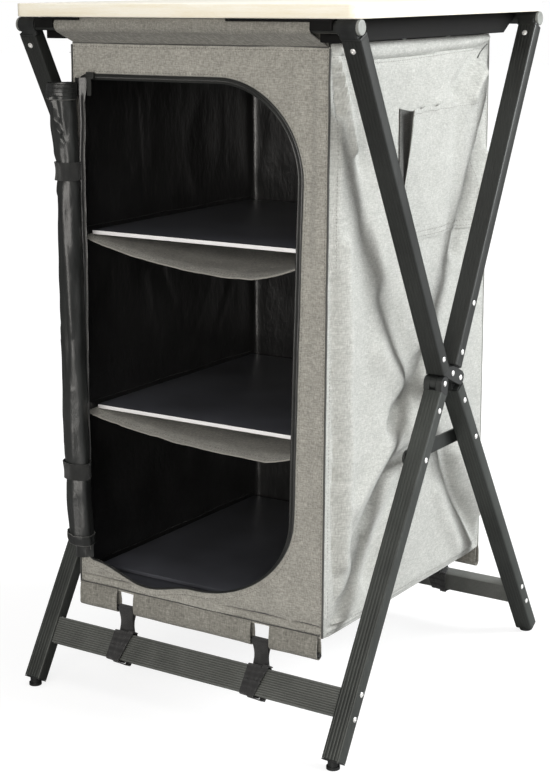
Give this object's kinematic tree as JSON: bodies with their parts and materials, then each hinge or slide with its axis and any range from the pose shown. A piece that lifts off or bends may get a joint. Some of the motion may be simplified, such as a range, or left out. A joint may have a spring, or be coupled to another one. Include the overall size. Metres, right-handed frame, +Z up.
{
  "type": "camp kitchen cupboard",
  "caption": "Folding camp cupboard: a fabric body with boards in slings and a rolled-up zip door, hung in a knee-jointed scissor frame under a flat worktop.",
  "frame": {"origin": "on the ground, in the middle of the four feet and of the whole object's outline", "axes": "+X to the right of someone who faces the open front, +Y to the back, +Z up; the opening faces -Y"},
  "size_m": [0.483, 0.538, 0.871],
  "materials": {
    "anodised": "dark anodised, finely grooved along its length",
    "moulded": "matt moulded plastic",
    "laminate": "board with a satin cream laminate",
    "board": "dark satin board with a pale front edge",
    "fabric": "grey coated woven fabric",
    "webbing": "dark woven webbing",
    "door_black": "dark coated fabric, rolled up",
    "zip_black": "dark zip tape and teeth"
  },
  "bodies": {
    "upper_front_frame": {"front_rail": "anodised", "front_upper_tube_left": "anodised", "front_upper_tube_right": "anodised", "front_corner_left": "moulded", "front_corner_right": "moulded", "front_hub_arm_left": "moulded", "front_hub_arm_right": "moulded", "front_sleeve": "fabric", "front_panel": "fabric", "back_panel": "fabric", "side_panel_left": "fabric", "side_panel_right": "fabric", "floor_panel": "fabric", "upper_sling": "fabric", "lower_sling": "fabric", "side_pocket": "fabric", "rolled_door": "door_black", "zip_track": "zip_black", "front_hem_rod": "anodised", "rear_hem_rod": "anodised", "front_strap_left": "webbing", "front_strap_right": "webbing", "rear_strap_left": "webbing", "rear_strap_right": "webbing"},
    "upper_rear_frame": {"rear_rail": "anodised", "rear_upper_tube_left": "anodised", "rear_upper_tube_right": "anodised", "rear_corner_left": "moulded", "rear_corner_right": "moulded", "rear_hub_arm_left": "moulded", "rear_hub_arm_right": "moulded", "rear_sleeve": "fabric"},
    "lower_front_frame": {"front_leg_left": "anodised", "front_leg_right": "anodised", "front_knee_left": "moulded", "front_knee_right": "moulded", "front_crossbar": "anodised", "front_foot_left": "moulded", "front_foot_right": "moulded", "front_cuff_left": "webbing", "front_cuff_right": "webbing"},
    "lower_rear_frame": {"rear_leg_left": "anodised", "rear_leg_right": "anodised", "rear_knee_left": "moulded", "rear_knee_right": "moulded", "rear_crossbar": "anodised", "rear_foot_left": "moulded", "rear_foot_right": "moulded", "rear_cuff_left": "webbing", "rear_cuff_right": "webbing"},
    "worktop_set": {"worktop": "laminate", "worktop_batten_left": "moulded", "worktop_batten_right": "moulded"},
    "left_brace": {"brace_left": "anodised"},
    "right_brace": {"brace_right": "anodised"},
    "upper_board": {"upper_shelf": "board"},
    "lower_board": {"lower_shelf": "board"},
    "bottom_board": {"floor_board": "board"},
    "slider": {"zip_slider": "zip_black"}
  },
  "joints": [
    {"name": "scissor_fold", "type": "hinge", "parent": "upper_front_frame", "child": "upper_rear_frame", "pos_m": [0, 0, 0.424], "axis": [1, 0, 0], "range_deg": [0, 50]},
    {"name": "front_leg_fold", "type": "hinge", "parent": "upper_rear_frame", "child": "lower_front_frame", "pos_m": [0, -0.0205, 0.4147], "axis": [-1, 0, 0], "range_deg": [0, 95]},
    {"name": "rear_leg_fold", "type": "hinge", "parent": "upper_front_frame", "child": "lower_rear_frame", "pos_m": [0, 0.0205, 0.4147], "axis": [1, 0, 0], "range_deg": [0, 95]},
    {"name": "worktop_lift", "type": "slide", "parent": "upper_front_frame", "child": "worktop_set", "axis": [0, 0, 1], "range_m": [0, 0.44]},
    {"name": "brace_left_swing", "type": "hinge", "parent": "lower_rear_frame", "child": "left_brace", "pos_m": [-0.2145, 0.06657, 0.3285], "axis": [-1, 0, 0], "range_deg": [0, 59]},
    {"name": "brace_right_swing", "type": "hinge", "parent": "lower_rear_frame", "child": "right_brace", "pos_m": [0.2145, 0.06657, 0.3285], "axis": [-1, 0, 0], "range_deg": [0, 59]},
    {"name": "upper_shelf_tip", "type": "hinge", "parent": "upper_front_frame", "child": "upper_board", "pos_m": [0, 0.179, 0.588], "axis": [-1, 0, 0], "range_deg": [0, 25]},
    {"name": "lower_shelf_tip", "type": "hinge", "parent": "upper_front_frame", "child": "lower_board", "pos_m": [0, 0.179, 0.363], "axis": [-1, 0, 0], "range_deg": [0, 25]},
    {"name": "floor_board_tip", "type": "hinge", "parent": "upper_front_frame", "child": "bottom_board", "pos_m": [0, 0.179, 0.1478], "axis": [-1, 0, 0], "range_deg": [0, 20]},
    {"name": "zip_slide", "type": "slide", "parent": "upper_front_frame", "child": "slider", "axis": [1, 0, 0], "range_m": [0, 0.18]}
  ],
  "couplings": [
    {"joint": "worktop_lift", "follows": "scissor_fold", "m_per_rad": 0.5}
  ]
}
